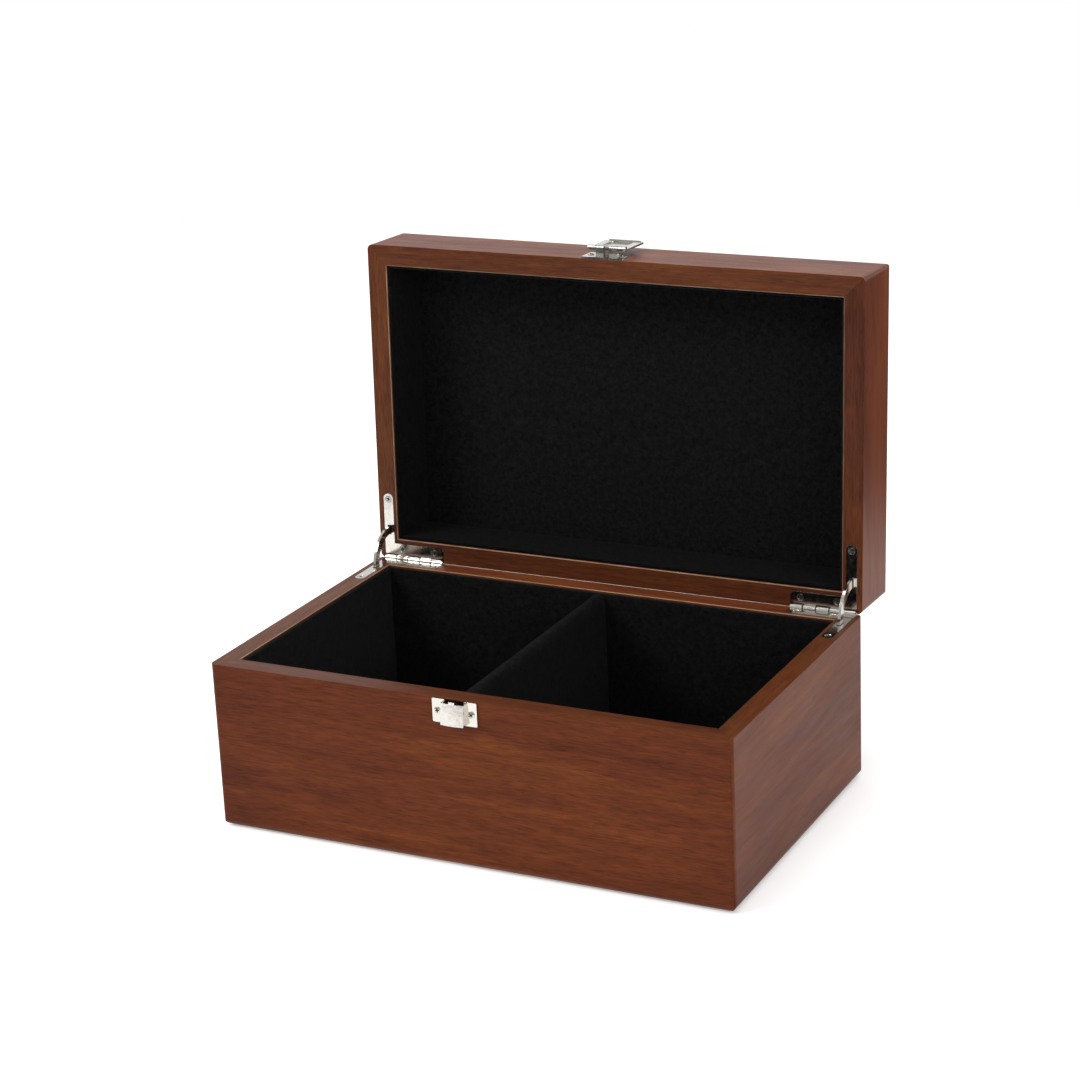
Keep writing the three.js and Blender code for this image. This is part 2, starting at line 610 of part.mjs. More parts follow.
const plateMiddle = PLATE_DROP + PLATE_HEIGHT / 2;
node('hasp_plate', onFront(cutAll(haspPlate(plateMiddle), plateScrewHoles), haspPlateHeight), nickel, lidGroup);
for (const { name, sign } of sides) {
  const screw = moved(plateScrew(plateScrewTurns[name]), sign * PLATE_SCREW_X, 0, 0);
  node(`hasp_screw_${name}`, onFront(screw, haspPlateHeight), steel, lidGroup);
}
const haspPinEnd = FLAP_WIDTH / 2 - HASP_PIN_INSET;
const haspPin = rodAlongX(-haspPinEnd, haspPinEnd, 0, HASP_PIN_OUT, HASP_PIN_RADIUS);
node('hasp_pin', onFront(haspPin, haspPinHeight), steel, lidGroup);
node('hasp_flap', onFront(haspFlap(), haspPinHeight), nickel, lidGroup);

export default chipCase;
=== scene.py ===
"""The looks of a mahogany chip case with felt-lined compartments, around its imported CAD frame."""
import json
import math

import bmesh
import bpy
from mathutils import Matrix, Vector, noise


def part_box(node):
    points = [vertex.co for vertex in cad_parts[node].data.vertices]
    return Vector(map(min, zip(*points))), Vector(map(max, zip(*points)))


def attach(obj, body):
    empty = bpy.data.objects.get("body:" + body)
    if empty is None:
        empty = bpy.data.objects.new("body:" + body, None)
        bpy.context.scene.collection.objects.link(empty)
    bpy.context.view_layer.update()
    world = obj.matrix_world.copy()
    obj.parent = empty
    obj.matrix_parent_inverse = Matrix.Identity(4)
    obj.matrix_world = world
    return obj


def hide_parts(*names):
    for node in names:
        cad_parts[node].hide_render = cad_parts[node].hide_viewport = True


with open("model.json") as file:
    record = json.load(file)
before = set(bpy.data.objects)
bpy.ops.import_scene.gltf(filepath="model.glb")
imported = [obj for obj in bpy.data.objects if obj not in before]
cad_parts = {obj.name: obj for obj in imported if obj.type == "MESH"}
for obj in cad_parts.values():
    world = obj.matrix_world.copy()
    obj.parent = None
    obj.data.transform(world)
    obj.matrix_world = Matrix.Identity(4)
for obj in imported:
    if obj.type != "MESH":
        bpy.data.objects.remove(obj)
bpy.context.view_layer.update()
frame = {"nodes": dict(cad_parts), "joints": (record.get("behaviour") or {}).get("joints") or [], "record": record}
MM = 0.001
NODES = frame["nodes"]
BODIES = frame["record"]["behaviour"]["bodies"]
BODY_OF = {node: body for body, nodes in BODIES.items() for node in nodes}
AXIS_POINT = Vector(next(j["pos_m"] for j in frame["joints"] if j["name"] == "lid_hinge"))
OPENING = Matrix.Rotation(math.radians(-92), 3, "X")
SHUTTING = Matrix.Rotation(math.radians(92), 3, "X")
SCENE = bpy.context.scene


# ---- camera, light and floor ------------------------------------------------------

CAMERA_PLACE = (0.57433, -1.1217, 0.56095)
WORLD_FRONT_TO_BACK = [(0.0, 0.85), (0.40, 0.80), (0.65, 1.2), (1.0, 1.6)]
WORLD_DOWN_TO_UP = [(0.425, 0.04), (0.465, 1.0)]
WORLD_STRENGTH = 0.62
LIGHT_TARGET = Vector((0, 0, 0.1))
LIGHTS = {
    "key": {"place": (-1.1, -1.0, 1.4), "size": 0.9, "power": 20},
    "top": {"place": (0.1, 0.1, 1.9), "size": 1.3, "power": 12.5},
    "fill": {"place": (1.6, -0.9, 0.9), "size": 0.9, "power": 9},
}
FLOOR_DEPTH = 0.0002
FLOOR_RINGS = {"table_middle": (0.0, 0.55), "table_rest": (0.55, 6.0)}
BACKDROP_RADIUS = 1.5
BACKDROP_HEIGHT = 3
BACKDROP_MIDDLE = 1.45


def make_camera():
    """A long lens at the front right, a little above the rim, rolled slightly."""
    yaw, pitch, roll = math.radians(26.628), math.radians(-18.712), math.radians(-2.4177)
    level = Vector((math.cos(yaw), math.sin(yaw), 0))
    forward = Vector((-math.sin(yaw) * math.cos(pitch), math.cos(yaw) * math.cos(pitch), math.sin(pitch)))
    upright = level.cross(forward)
    across = math.cos(roll) * level + math.sin(roll) * upright
    up = math.cos(roll) * upright - math.sin(roll) * level
    data = bpy.data.cameras.new("camera")
    data.lens = 89.276
    data.sensor_width = 36
    data.shift_x = -0.01563
    data.shift_y = 0.01058
    camera = bpy.data.objects.new("camera", data)
    turn = Matrix((across, up, -forward)).transposed().to_4x4()
    camera.matrix_world = Matrix.Translation(CAMERA_PLACE) @ turn
    SCENE.collection.objects.link(camera)
    SCENE.camera = camera


def make_world():
    """A bright studio above the table, brighter behind the case; dark below the horizon."""
    world = bpy.data.worlds.new("studio")
    SCENE.world = world
    world.use_nodes = True
    tree = world.node_tree
    background = tree.nodes["Background"]
    coords = tree.nodes.new("ShaderNodeTexCoord")
    split = tree.nodes.new("ShaderNodeSeparateXYZ")
    tree.links.new(coords.outputs["Generated"], split.inputs[0])

    def shade(axis, stops):
        half = tree.nodes.new("ShaderNodeMath")
        half.operation = "MULTIPLY_ADD"
        half.inputs[1].default_value = 0.5
        half.inputs[2].default_value = 0.5
        tree.links.new(split.outputs[axis], half.inputs[0])
        ramp = tree.nodes.new("ShaderNodeValToRGB")
        for index, (place, value) in enumerate(stops):
            elements = ramp.color_ramp.elements
            stop = elements[index] if index < 2 else elements.new(place)
            stop.position = place
            stop.color = (value, value, value, 1)
        tree.links.new(half.outputs[0], ramp.inputs[0])
        return ramp.outputs[0]

    product = tree.nodes.new("ShaderNodeVectorMath")
    product.operation = "MULTIPLY"
    tree.links.new(shade("Y", WORLD_FRONT_TO_BACK), product.inputs[0])
    tree.links.new(shade("Z", WORLD_DOWN_TO_UP), product.inputs[1])
    tree.links.new(product.outputs[0], background.inputs[0])
    background.inputs["Strength"].default_value = WORLD_STRENGTH


def make_area_light(name, place, size, power):
    """A round soft light that points at the case."""
    data = bpy.data.lights.new(name, "AREA")
    data.shape = "DISK"
    data.size = size
    data.energy = power
    light = bpy.data.objects.new(name, data)
    light.location = place
    light.rotation_euler = (LIGHT_TARGET - Vector(place)).to_track_quat("-Z", "Y").to_euler()
    SCENE.collection.objects.link(light)


def make_floor():
    """A white table: its middle shows in the case's finish, the rest only to the camera."""
    material = bpy.data.materials.new("pale_floor")
    material.use_nodes = True
    shader = material.node_tree.nodes["Principled BSDF"]
    shader.inputs["Base Color"].default_value = (0.9, 0.9, 0.9, 1)
    shader.inputs["Roughness"].default_value = 1.0
    shader.inputs["Specular IOR Level"].default_value = 0.0
    shader.inputs["Emission Color"].default_value = (1, 1, 1, 1)
    shader.inputs["Emission Strength"].default_value = 0.30
    steps = 48
    for name, (inner, outer) in FLOOR_RINGS.items():
        spots = []
        for radius in (inner, outer):
            for step in range(steps):
                angle = 2 * math.pi * step / steps
                spots.append((radius * math.cos(angle), radius * math.sin(angle), 0))
        faces = [(step, (step + 1) % steps, steps + (step + 1) % steps, steps + step)
                 for step in range(steps)]
        if inner == 0:
            spots, faces = spots[steps:], [tuple(range(steps))]
        mesh = bpy.data.meshes.new(name)
        mesh.from_pydata(spots, [], faces)
        mesh.materials.append(material)
        floor = bpy.data.objects.new(name, mesh)
        floor.location.z = -FLOOR_DEPTH
        SCENE.collection.objects.link(floor)
        floor.visible_glossy = inner == 0


def make_backdrop():
    """A white wall all round, which only the camera sees."""
    work = bmesh.new()
    bmesh.ops.create_cone(work, cap_ends=False, segments=64, radius1=BACKDROP_RADIUS,
                          radius2=BACKDROP_RADIUS, depth=BACKDROP_HEIGHT)
    mesh = bpy.data.meshes.new("backdrop")
    work.to_mesh(mesh)
    work.free()
    backdrop = bpy.data.objects.new("backdrop", mesh)
    backdrop.location.z = BACKDROP_MIDDLE
    SCENE.collection.objects.link(backdrop)
    material = bpy.data.materials.new("white_wall")
    material.use_nodes = True
    material.node_tree.nodes.clear()
    glow = material.node_tree.nodes.new("ShaderNodeEmission")
    output = material.node_tree.nodes.new("ShaderNodeOutputMaterial")
    material.node_tree.links.new(glow.outputs[0], output.inputs[0])
    mesh.materials.append(material)
    for unseen in ("visible_glossy", "visible_diffuse", "visible_shadow", "visible_transmission"):
        setattr(backdrop, unseen, False)


make_camera()
make_world()
for name, light in LIGHTS.items():
    make_area_light(name, **light)
make_floor()
make_backdrop()
SCENE.view_settings.view_transform = "Standard"


# ---- materials --------------------------------------------------------------------

class Nodes:
    """A material's node tree with short calls for the nodes that this script uses."""

    def __init__(self, name):
        self.material = bpy.data.materials.new(name)
        self.material.use_nodes = True
        self.tree = self.material.node_tree
        self.shader = self.tree.nodes["Principled BSDF"]

    def link(self, output, target):
        self.tree.links.new(output, target)

    def set(self, **values):
        for name, value in values.items():
            self.shader.inputs[name.replace("_", " ")].default_value = value

    def coords(self, scale, turn=(0, 0, 0)):
        source = self.tree.nodes.new("ShaderNodeTexCoord")
        mapping = self.tree.nodes.new("ShaderNodeMapping")
        mapping.vector_type = "TEXTURE"
        mapping.inputs["Rotation"].default_value = turn
        self.link(source.outputs["Object"], mapping.inputs["Vector"])
        stretch = self.tree.nodes.new("ShaderNodeVectorMath")
        stretch.operation = "MULTIPLY"
        stretch.inputs[1].default_value = scale
        self.link(mapping.outputs[0], stretch.inputs[0])
        return stretch.outputs[0]

    def noise(self, coords, detail=2.0, roughness=0.5, distortion=0.0):
        node = self.tree.nodes.new("ShaderNodeTexNoise")
        node.inputs["Scale"].default_value = 1.0
        node.inputs["Detail"].default_value = detail
        node.inputs["Roughness"].default_value = roughness
        node.inputs["Distortion"].default_value = distortion
        self.link(coords, node.inputs["Vector"])
        return node.outputs["Fac"]

    def ramp(self, value, *stops):
        node = self.tree.nodes.new("ShaderNodeValToRGB")
        elements = node.color_ramp.elements
        for index, (place, color) in enumerate(stops):
            stop = elements[index] if index < 2 else elements.new(place)
            stop.position = place
            stop.color = (*color, 1) if hasattr(color, "__len__") else (color, color, color, 1)
        self.link(value, node.inputs[0])
        return node.outputs[0]

    def mix(self, kind, factor, first, second):
        node = self.tree.nodes.new("ShaderNodeMix")
        node.data_type = "RGBA"
        node.blend_type = kind
        sockets = {"factor": node.inputs[0], "first": node.inputs[6], "second": node.inputs[7]}
        for key, value in (("factor", factor), ("first", first), ("second", second)):
            if isinstance(value, bpy.types.NodeSocket):
                self.link(value, sockets[key])
            elif hasattr(value, "__len__"):
                sockets[key].default_value = (*value, 1)
            else:
                sockets[key].default_value = value
        return node.outputs[2]

    def math(self, kind, first, second):
        node = self.tree.nodes.new("ShaderNodeMath")
        node.operation = kind
        for index, value in enumerate((first, second)):
            if isinstance(value, bpy.types.NodeSocket):
                self.link(value, node.inputs[index])
            else:
                node.inputs[index].default_value = value
        return node.outputs[0]

    def bump(self, height, distance, strength=1.0):
        node = self.tree.nodes.new("ShaderNodeBump")
        node.inputs["Strength"].default_value = strength
        node.inputs["Distance"].default_value = distance
        self.link(height, node.inputs["Height"])
        self.link(node.outputs[0], self.shader.inputs["Normal"])


WOOD_TONES = (
    (0.28, (0.092, 0.0215, 0.0095)),
    (0.47, (0.133, 0.0330, 0.0118)),
    (0.60, (0.156, 0.0415, 0.0130)),
    (0.76, (0.190, 0.0570, 0.0155)),
)
PORE_TONE = (0.046, 0.012, 0.006)
FELT_CLUMP_TONES = ((0.3, (0.0042, 0.0042, 0.0044)), (0.72, (0.0120, 0.0120, 0.0124)))
FELT_FIBRE_TONE = (0.032, 0.032, 0.033)
# Painted highlight: the pale tones of the thin line along the rims' inner arris.
ARRIS_HIGHLIGHT_TONES = ((0.30, (0.190, 0.105, 0.060)), (0.70, (0.400, 0.270, 0.175)))
BOARD_TONES = ((0.3, (0.23, 0.15, 0.09)), (0.7, (0.36, 0.26, 0.17)))


def mahogany(name, turn, shift, tint, ior, figure=1.0):
    """Satin mahogany with its grain along the X axis of the turned coordinates.

    A low figure makes the streaks and the open pores fainter.
    """
    m = Nodes(name)
    offset = Vector(shift)

    def grain(along, across):
        coords = m.coords((along, across, across), turn)
        moved = m.tree.nodes.new("ShaderNodeVectorMath")
        moved.operation = "ADD"
        moved.inputs[1].default_value = offset
        m.link(coords, moved.inputs[0])
        return moved.outputs[0]

    def shade(color):
        return tuple(t * c for t, c in zip(tint, color))

    broad = m.noise(grain(6, 52), 3.0, 0.6, 0.6)
    color = m.ramp(broad, *((place, shade(tone)) for place, tone in WOOD_TONES))
    streaks = m.ramp(m.noise(grain(24, 330), 4.0, 0.65), (0.30, 0.80), (0.70, 1.18))
    color = m.mix("MULTIPLY", figure, color, streaks)
    flecks = m.ramp(m.noise(grain(100, 1500), 3.0, 0.65), (0.36, 0.70), (0.50, 1.0), (0.66, 1.24))
    color = m.mix("MULTIPLY", 0.9 * figure, color, flecks)
    pores = m.ramp(m.noise(grain(150, 2300), 1.0, 0.5), (0.60, 0.0), (0.70, 1.0))
    color = m.mix("MIX", m.math("MULTIPLY", pores, 0.45 * figure), color, shade(PORE_TONE))
    m.link(color, m.shader.inputs["Base Color"])
    rough = m.ramp(m.noise(grain(30, 300), 2.0, 0.6), (0.3, 0.34), (0.7, 0.44))
    m.link(rough, m.shader.inputs["Roughness"])
    m.set(IOR=ior)
    height = m.math("SUBTRACT", m.math("MULTIPLY", m.noise(grain(60, 900), 2.0), 0.35), pores)
    m.bump(height, 0.00005 * figure, 0.6)
    return m.material


def black_felt(name, tone, sheen):
    """Short fuzzy nap: dark clumps and lighter fibres, with a faint sheen."""
    m = Nodes(name)

    def shade(color):
        return tuple(tone * c for c in color)

    clumps = m.noise(m.coords((420, 420, 420)), 3.0, 0.65, 0.5)
    fibres = m.noise(m.coords((2600, 2600, 2600)), 2.0, 0.6, 1.2)
    color = m.ramp(clumps, *((place, shade(clump)) for place, clump in FELT_CLUMP_TONES))
    glint = m.ramp(fibres, (0.56, 0.0), (0.72, 1.0))
    color = m.mix("MIX", m.math("MULTIPLY", glint, 0.35), color, shade(FELT_FIBRE_TONE))
    m.link(color, m.shader.inputs["Base Color"])
    m.set(Roughness=1.0, Specular_IOR_Level=0.0, Sheen_Weight=sheen, Sheen_Roughness=0.4)
    m.bump(m.math("ADD", m.math("MULTIPLY", clumps, 0.8), fibres), 0.00035, 0.8)
    return m.material


def metal(name, color, rough_low, rough_high, brush):
    """Plated metal whose tint, roughness and surface waver slightly."""
    m = Nodes(name)
    cloud = m.noise(m.coords((300, 300, 300)), 3.0, 0.6)
    tint = m.ramp(cloud, (0.3, tuple(0.92 * c for c in color)), (0.7, color))
    m.link(tint, m.shader.inputs["Base Color"])
    marks = m.noise(m.coords((brush, brush * 9, brush)), 2.0, 0.5)
    m.link(m.ramp(marks, (0.3, rough_low), (0.75, rough_high)), m.shader.inputs["Roughness"])
    m.set(Metallic=1.0)
    dents = m.noise(m.coords((170, 170, 170)), 1.0, 0.4)
    m.bump(m.math("ADD", m.math("MULTIPLY", dents, 2.0), cloud), 0.00004, 0.4)
    return m.material


def painted_arris_highlight():
    """A painted highlight: the thin pale line along the rim's inner edge."""
    m = Nodes("painted_arris_highlight")
    highlight_mottle = m.noise(m.coords((90, 90, 90)), 3.0, 0.6)
    m.link(m.ramp(highlight_mottle, *ARRIS_HIGHLIGHT_TONES), m.shader.inputs["Base Color"])
    m.set(Roughness=0.55, IOR=1.35)
    return m.material


def bare_board():
    """The divider's core, which the felt hides."""
    m = Nodes("bare_board")
    speckle = m.noise(m.coords((1500, 1500, 1500)), 3.0, 0.7)
    m.link(m.ramp(speckle, *BOARD_TONES), m.shader.inputs["Base Color"])
    m.set(Roughness=0.9)
    m.bump(speckle, 0.0001, 0.5)
    return m.material


ALONG_X = (0, 0, 0)
ALONG_Y = (0, 0, math.pi / 2)
UPRIGHT = (0, math.pi / 2, 0)
FELT = black_felt("black_felt", 0.88, 0.05)
# Painted shade: the divider's felt is a darker copy of the same felt.
DIVIDER_SHADED_FELT = black_felt("divider_felt_painted_shade", 0.72, 0.03)
# Painted shade: the lid's back and left liners are darker copies of the same felt, for the less light their walls
# take.
SHADED_FELT = {
    "lid_back_liner": black_felt("lid_back_felt_painted_shade", 0.50, 0.02),
    "lid_left_liner": black_felt("lid_left_felt_painted_shade", 0.70, 0.025),
}
NICKEL = metal("polished_nickel", (0.64, 0.61, 0.56), 0.10, 0.20, 400)
STEEL = metal("plated_steel", (0.60, 0.58, 0.54), 0.18, 0.30, 700)
PIN_STEEL = metal("pin_steel", (0.12, 0.115, 0.105), 0.35, 0.50, 700)
# Painted shade: the dark colour of the screws' cross recesses.
RECESS_SHADE = metal("recess_painted_shade", (0.05, 0.048, 0.045), 0.60, 0.80, 700)
BOARD = bare_board()


# ---- mesh work --------------------------------------------------------------------

WELD_REACH = 0.002 * MM
FLAT_ANGLE = math.radians(0.8)
SHARP_ANGLE = math.radians(50)
SHADING_ANGLE = math.radians(60)
HINGE_LINE_REACH = 0.3 * MM
BEVEL_SEGMENTS = 2
WOOD_BEVEL = 0.35 * MM
BOARD_BEVEL = 0.2 * MM
NICKEL_BEVEL = 0.16 * MM
STEEL_BEVEL = 0.06 * MM


def new_piece(name, mesh, material, node):
    """Links a mesh as a visible piece that stands for one CAD node."""
    piece = bpy.data.objects.new(name, mesh)
    SCENE.collection.objects.link(piece)
    mesh.materials.clear()
    mesh.materials.append(material)
    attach(piece, BODY_OF[node])
    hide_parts(node)
    return piece


def fill_mesh(work, mesh):
    """Moves the worked faces into a mesh, smooth everywhere but at its sharp edges."""
    bmesh.ops.recalc_face_normals(work, faces=work.faces)
    for face in work.faces:
        face.smooth = True
    work.to_mesh(mesh)
    work.free()
    while mesh.attributes.get("custom_normal"):
        mesh.attributes.remove(mesh.attributes["custom_normal"])
    mesh.set_sharp_from_angle(angle=SHADING_ANGLE)


def bevel_edges(work, edges, size, segments):
    bmesh.ops.bevel(work, geom=edges, offset=size, offset_type="OFFSET", segments=segments,
                    profile=0.5, affect="EDGES", clamp_overlap=True)


def refined(node, material, bevel, chamfer=None):
    """The CAD node's own solid with its flat faces whole again and its arrises rounded over.

    The edges that chamfer(start, end) picks get a wider flat chamfer. Edges on the lid's
    hinge line stay sharp, so that no light shows between the two halves.
    """
    mesh = NODES[node].data.copy()
    mesh.name = node + "_fine"
    work = bmesh.new()
    work.from_mesh(mesh)
    bmesh.ops.remove_doubles(work, verts=work.verts, dist=WELD_REACH)
    bmesh.ops.dissolve_limit(work, angle_limit=FLAT_ANGLE, verts=work.verts, edges=work.edges)

    def on_hinge_line(edge):
        return all((v.co - AXIS_POINT).yz.length < HINGE_LINE_REACH for v in edge.verts)

    def sharp_edges():
        return [e for e in work.edges if len(e.link_faces) == 2
                and e.calc_face_angle(0) > SHARP_ANGLE and not on_hinge_line(e)]

    if chamfer:
        picked = [e for e in sharp_edges() if chamfer(e.verts[0].co, e.verts[1].co)]
        bevel_edges(work, picked, ARRIS_CHAMFER, 1)
    bevel_edges(work, sharp_edges(), bevel, BEVEL_SEGMENTS)
    fill_mesh(work, mesh)
    piece = new_piece(node + "_fine", mesh, material, node)
    weighted = piece.modifiers.new("flat_faces", "WEIGHTED_NORMAL")
    weighted.weight = 100
    weighted.keep_sharp = True
    return piece


# ---- wood --------------------------------------------------------------------------

def wood_turn(node):
    """The grain runs along each board's length."""
    if "left_wall" in node or "right_wall" in node:
        return UPRIGHT if node.startswith("lid") else ALONG_Y
    return ALONG_X


# Painted light and shade: the lid's faces get a lighter tint and the base's a darker one, for how the light falls
# on each half.
LIT_AND_SHADED_FACE_TINTS = {"base": (0.75, 0.67, 0.49), "lid": (1.02, 0.99, 0.84)}
FACE_IOR = {"base": 1.18, "lid": 1.23}
# Painted light and shade: each rim gets its own tinted copy of the wood for how it catches the light, the lid's
# rim darker and the base's back rim lighter.
RIM_LIGHT_AND_SHADE_TINTS = {
    "base": (0.68, 0.74, 0.66),
    "base_back_wall": (1.0, 1.0, 0.9),
    "lid": (0.64, 0.68, 0.66),
}
RIM_IOR = 1.24
END_WALL_FIGURE = 0.45
ARRIS_HIGHLIGHT = painted_arris_highlight()
ARRIS_CHAMFER = 0.38 * MM
ARRIS_EDGE_REACH = 0.15 * MM
RIM_REACH = 0.6 * MM
RIM_FACING = 0.5
ARRIS_FACING = 0.9
PAINTED_RIM_SLOT = 1
ARRIS_HIGHLIGHT_SLOT = 2
INSIDE_X = abs(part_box("base_left_wall")[1].x)
INSIDE_Y = abs(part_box("base_front_wall")[1].y)


def in_closed_case(node, spot):
    """A point of a lid node as it lies when the lid is shut; base nodes stay as they are."""
    if not node.startswith("lid"):
        return Vector(spot)
    return SHUTTING @ (Vector(spot) - AXIS_POINT) + AXIS_POINT


def on_inner_arris(node, spot, reach):
    """Whether a point lies where the rim meets the inside of its wall."""
    spot = in_closed_case(node, spot)
    across_x = "left" in node or "right" in node
    inset = abs(spot.x) - INSIDE_X if across_x else abs(spot.y) - INSIDE_Y
    return abs(spot.z - AXIS_POINT.z) < reach and abs(inset) < reach


def paint_rim(piece, node):
    """The rim's own tinted copy of the wood, painted light and shade, and the painted highlight along its inner
    arris.
    """
    rim_up = Vector((0, 0, 1))
    if node.startswith("lid"):
        rim_up = OPENING @ rim_up
    for face in piece.data.polygons:
        facing = abs(Vector(face.normal).dot(rim_up))
        if on_inner_arris(node, face.center, RIM_REACH) and RIM_FACING < facing < ARRIS_FACING:
            face.material_index = ARRIS_HIGHLIGHT_SLOT
        elif facing > RIM_FACING and abs(in_closed_case(node, face.center).z - AXIS_POINT.z) < RIM_REACH:
            face.material_index = PAINTED_RIM_SLOT


WOOD_NODES = [n for n in sorted(NODES) if n.endswith("_wall") or n.endswith("_panel")]
for index, node in enumerate(WOOD_NODES):
    shift = (3.7 * index, 11.3 * index, 5.9 * index)
    half = node.split("_")[0]
    figure = END_WALL_FIGURE if "left" in node or "right" in node else 1.0
    finish = mahogany("mahogany_" + node, wood_turn(node), shift, LIT_AND_SHADED_FACE_TINTS[half], FACE_IOR[half],
                      figure)
    if node.endswith("_panel"):
        refined(node, finish, WOOD_BEVEL)
        continue

    def picked(start, end, wall=node):
        return all(on_inner_arris(wall, spot, ARRIS_EDGE_REACH) for spot in (start, end))

    piece = refined(node, finish, WOOD_BEVEL, chamfer=picked)
    # Painted light and shade on the rim, and a painted highlight along its inner arris.
    rim_light_and_shade_tint = RIM_LIGHT_AND_SHADE_TINTS.get(node, RIM_LIGHT_AND_SHADE_TINTS[half])
    piece.data.materials.append(mahogany("rim_" + node, wood_turn(node), shift, rim_light_and_shade_tint, RIM_IOR))
    piece.data.materials.append(ARRIS_HIGHLIGHT)
    paint_rim(piece, node)


# ---- felt --------------------------------------------------------------------------

FELT_TUCK = 0.45 * MM
FELT_ROUND = 0.6 * MM
FELT_STEP = 2.5 * MM
FELT_SINK_MM = 0.16
FELT_WAVE_MM = 0.14
WRAP_GAP = 0.08 * MM
WRAP_END = 0.5 * MM
WRAP_SIDE_SINK = 0.12 * MM
WRAP_TOP_SINK = 0.1 * MM
WRAP_SWAY = 0.16
WRAP_ROWS = 24
WRAP_TURNS = 10


def edge_lines(length, radius, step):
    """Grid lines along one side: close together over the rounded edges, even between them."""
    near = [0.0, radius * 0.15, radius * 0.45, radius]
    count = max(2, round((length - 2 * radius) / step))
    middle = [radius + (length - 2 * radius) * i / count for i in range(1, count)]
    return near + middle + [length - x for x in reversed(near)]


def felt_sheet(node, low, high, thin, facing, rim=None):
    """A glued sheet of felt that fills a box and runs a little into its neighbours.

    It is softly uneven, and rounded along the rim side alone: "low" or "high" on Z.
    A sheet of the lid is made as the lid lies when shut, and then turned open with it.
    """
    axes = [a for a in range(3) if a != thin]
    low, high = Vector(low), Vector(high)
    for axis in axes:
        if rim is None or axis != 2:
            low[axis] -= FELT_TUCK
            high[axis] += FELT_TUCK
    if rim == "high":
        low[2] -= FELT_TUCK
    if rim == "low":
        high[2] += FELT_TUCK
    size = [high[a] - low[a] for a in range(3)]
    across = edge_lines(size[axes[0]], FELT_ROUND, FELT_STEP)
    along = edge_lines(size[axes[1]], FELT_ROUND, FELT_STEP)

    def point(u, v, w):
        spot = [0.0, 0.0, 0.0]
        spot[axes[0]] = low[axes[0]] + u
        spot[axes[1]] = low[axes[1]] + v
        spot[thin] = low[thin] + w if facing > 0 else high[thin] - w
        return Vector(spot)

    def front_height(u, v):
        edge = {None: FELT_ROUND, "low": v, "high": size[2] - v}[rim]
        drop = 0.0
        if edge < FELT_ROUND:
            drop = FELT_ROUND - math.sqrt(max(0.0, FELT_ROUND ** 2 - (FELT_ROUND - edge) ** 2))
        spot = point(u, v, 0)
        wave = (noise.noise(spot * 60) * 0.5 + noise.noise(spot * 210) * 0.3
                + noise.noise(spot * 700) * 0.25)
        return size[thin] - drop - (FELT_SINK_MM + FELT_WAVE_MM * wave) * MM

    work = bmesh.new()
    front = [[work.verts.new(point(u, v, front_height(u, v))) for v in along] for u in across]
    back = [[work.verts.new(point(u, v, 0)) for v in along] for u in across]
    for i in range(len(across) - 1):
        for j in range(len(along) - 1):
            work.faces.new((front[i][j], front[i + 1][j], front[i + 1][j + 1], front[i][j + 1]))
            work.faces.new((back[i][j], back[i][j + 1], back[i + 1][j + 1], back[i + 1][j]))
    last_i, last_j = len(across) - 1, len(along) - 1
    for i in range(last_i):
        work.faces.new((front[i][0], back[i][0], back[i + 1][0], front[i + 1][0]))
        work.faces.new((front[i][last_j], front[i + 1][last_j], back[i + 1][last_j], back[i][last_j]))
    for j in range(last_j):
        work.faces.new((front[0][j], front[0][j + 1], back[0][j + 1], back[0][j]))
        work.faces.new((front[last_i][j], back[last_i][j], back[last_i][j + 1], front[last_i][j + 1]))
    if node.startswith("lid"):
        bmesh.ops.rotate(work, cent=AXIS_POINT, matrix=OPENING, verts=work.verts)
    mesh = bpy.data.meshes.new(node + "_felt")
    fill_mesh(work, mesh)
    piece = new_piece(node + "_felt", mesh, SHADED_FELT.get(node, FELT), node)


def closed_box(node):
    """The box of a lid node as it lies when the lid is shut."""
    spots = [in_closed_case(node, v.co) for v in NODES[node].data.vertices]
    low = Vector(min(p[a] for p in spots) for a in range(3))
    high = Vector(max(p[a] for p in spots) for a in range(3))
    return low, high


LINER_FACING = {"front": (1, 1), "back": (1, -1), "left": (0, 1), "right": (0, -1)}
for side, (thin, facing) in LINER_FACING.items():
    felt_sheet(f"base_{side}_liner", *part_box(f"base_{side}_liner"), thin, facing, "high")
    felt_sheet(f"lid_{side}_liner", *closed_box(f"lid_{side}_liner"), thin, facing, "low")
for side in ("left", "right"):
    felt_sheet(f"floor_pad_{side}", *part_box(f"floor_pad_{side}"), 2, 1)
felt_sheet("lid_ceiling_liner", *closed_box("lid_ceiling_liner"), 2, -1)


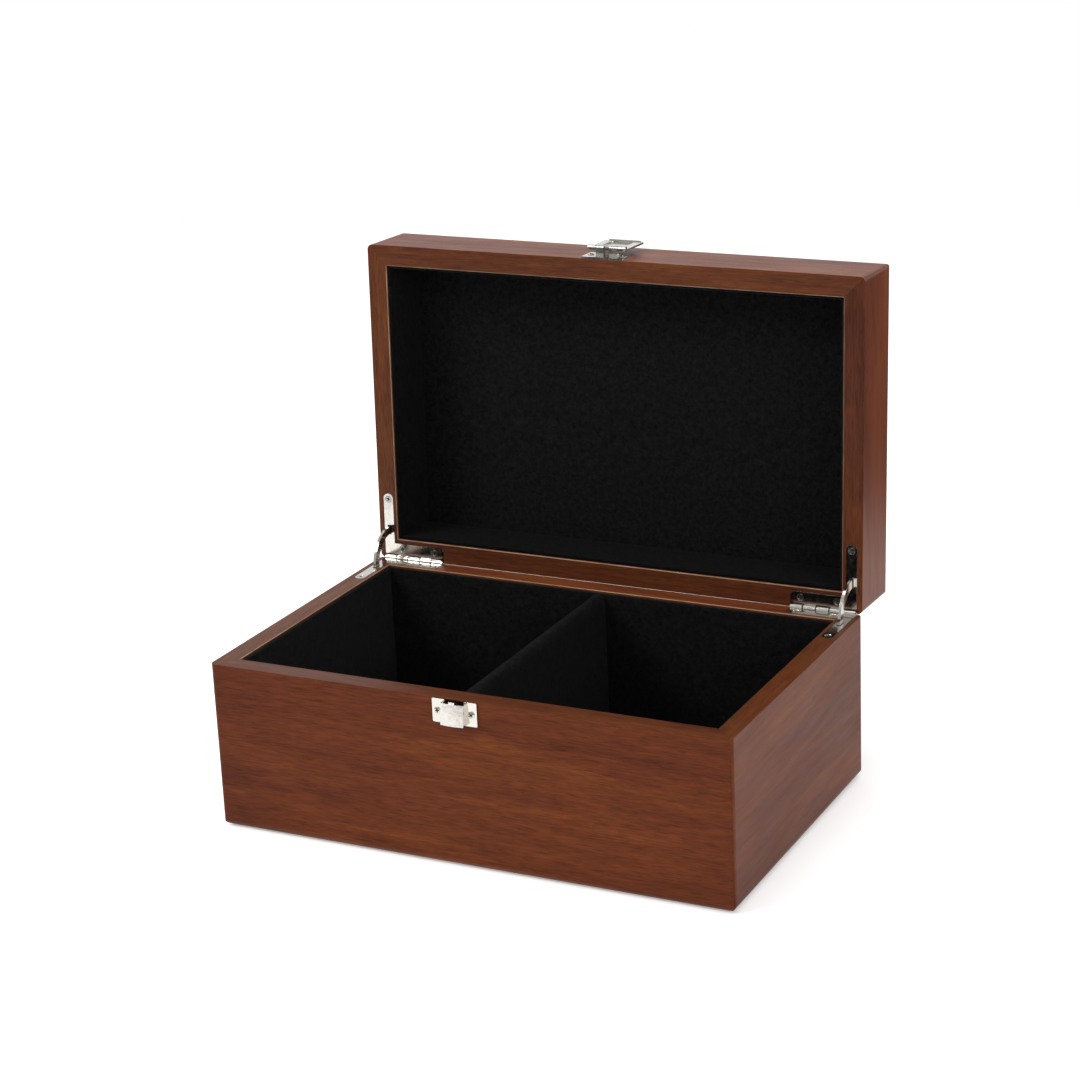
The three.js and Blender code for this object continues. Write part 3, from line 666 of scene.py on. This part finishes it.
def divider_felt():
    """The felt that wraps the divider: an upturned U, run from the front to the back."""
    low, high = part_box("divider_cover")
    core_low, core_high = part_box("divider_board")
    middle = (low.x + high.x) / 2
    half = (high.x - low.x) / 2
    inner = (core_high.x - core_low.x) / 2 + WRAP_GAP

    def profile(radius, top, bottom):
        crown = top - radius
        flank = [(-radius, bottom + (crown - bottom) * i / WRAP_ROWS) for i in range(WRAP_ROWS)]
        angles = [math.pi * i / WRAP_TURNS for i in range(WRAP_TURNS + 1)]
        arc = [(-radius * math.cos(a), crown + radius * math.sin(a)) for a in angles]
        return flank + arc + [(-x, z) for x, z in reversed(flank)]

    outer = profile(half, high.z, low.z)
    lining = profile(inner, core_high.z + WRAP_GAP, low.z)
    stations = edge_lines(high.y - low.y, WRAP_END, FELT_STEP)
    work = bmesh.new()

    def ring(points, y, uneven):
        verts = []
        for x, z in points:
            if uneven:
                spot = Vector((middle + x, low.y + y, z))
                wave = noise.noise(spot * 75) * 0.5 + noise.noise(spot * 260) * 0.35
                sway = wave * WRAP_SWAY * MM
                x *= 1 - (WRAP_SIDE_SINK + sway) / half
                z -= WRAP_TOP_SINK + sway
            verts.append(work.verts.new((middle + x, low.y + y, z)))
        return verts

    outside = [ring(outer, y, True) for y in stations]
    inside = [ring(lining, y, False) for y in stations]
    count = len(outer)
    for a in range(len(stations) - 1):
        for i in range(count - 1):
            work.faces.new((outside[a][i], outside[a + 1][i], outside[a + 1][i + 1], outside[a][i + 1]))
            work.faces.new((inside[a][i], inside[a][i + 1], inside[a + 1][i + 1], inside[a + 1][i]))
        for i in (0, count - 1):
            work.faces.new((outside[a][i], inside[a][i], inside[a + 1][i], outside[a + 1][i]))
    for end in (0, -1):
        for i in range(count - 1):
            work.faces.new((outside[end][i], outside[end][i + 1], inside[end][i + 1], inside[end][i]))
    mesh = bpy.data.meshes.new("divider_felt")
    fill_mesh(work, mesh)
    piece = new_piece("divider_felt", mesh, DIVIDER_SHADED_FELT, "divider_cover")


refined("divider_board", BOARD, BOARD_BEVEL)
divider_felt()


# ---- hardware ------------------------------------------------------------------------

NICKEL_NODES = ("catch_plate", "hasp_plate", "hasp_flap")
RECESS_DEPTH = 0.2 * MM
RECESS_RADIUS = 1.0 * MM
RECESS_SHADE_SLOT = 1


def head_direction(node):
    """The way a screw's head faces, with the lid standing open."""
    facing = Vector((0, 0, 1)) if "base" in node else Vector((0, 0, -1))
    if node.startswith(("catch", "hasp")):
        facing = Vector((0, -1, 0))
    if node.startswith("hasp") or "_lid_" in node:
        facing = OPENING @ facing
    return facing


def paint_recess_shade(piece, node, facing):
    """Painted shade: the cross recess of a screw head is coloured dark for the shadow it holds."""
    low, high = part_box(node)
    middle = (Vector(low) + Vector(high)) / 2
    top = max(v.co.dot(facing) for v in piece.data.vertices)
    piece.data.materials.append(RECESS_SHADE)
    for face in piece.data.polygons:
        sunk = top - face.center.dot(facing)
        out = face.center - middle
        out -= facing * out.dot(facing)
        if sunk > RECESS_DEPTH and out.length < RECESS_RADIUS:
            face.material_index = RECESS_SHADE_SLOT


for node in sorted(NODES):
    if node.endswith("_pin"):
        refined(node, PIN_STEEL, STEEL_BEVEL)
    elif "screw" in node:
        piece = refined(node, STEEL, STEEL_BEVEL)
        paint_recess_shade(piece, node, head_direction(node))
    elif "leaf" in node or "arm" in node or node in NICKEL_NODES:
        refined(node, NICKEL, NICKEL_BEVEL)
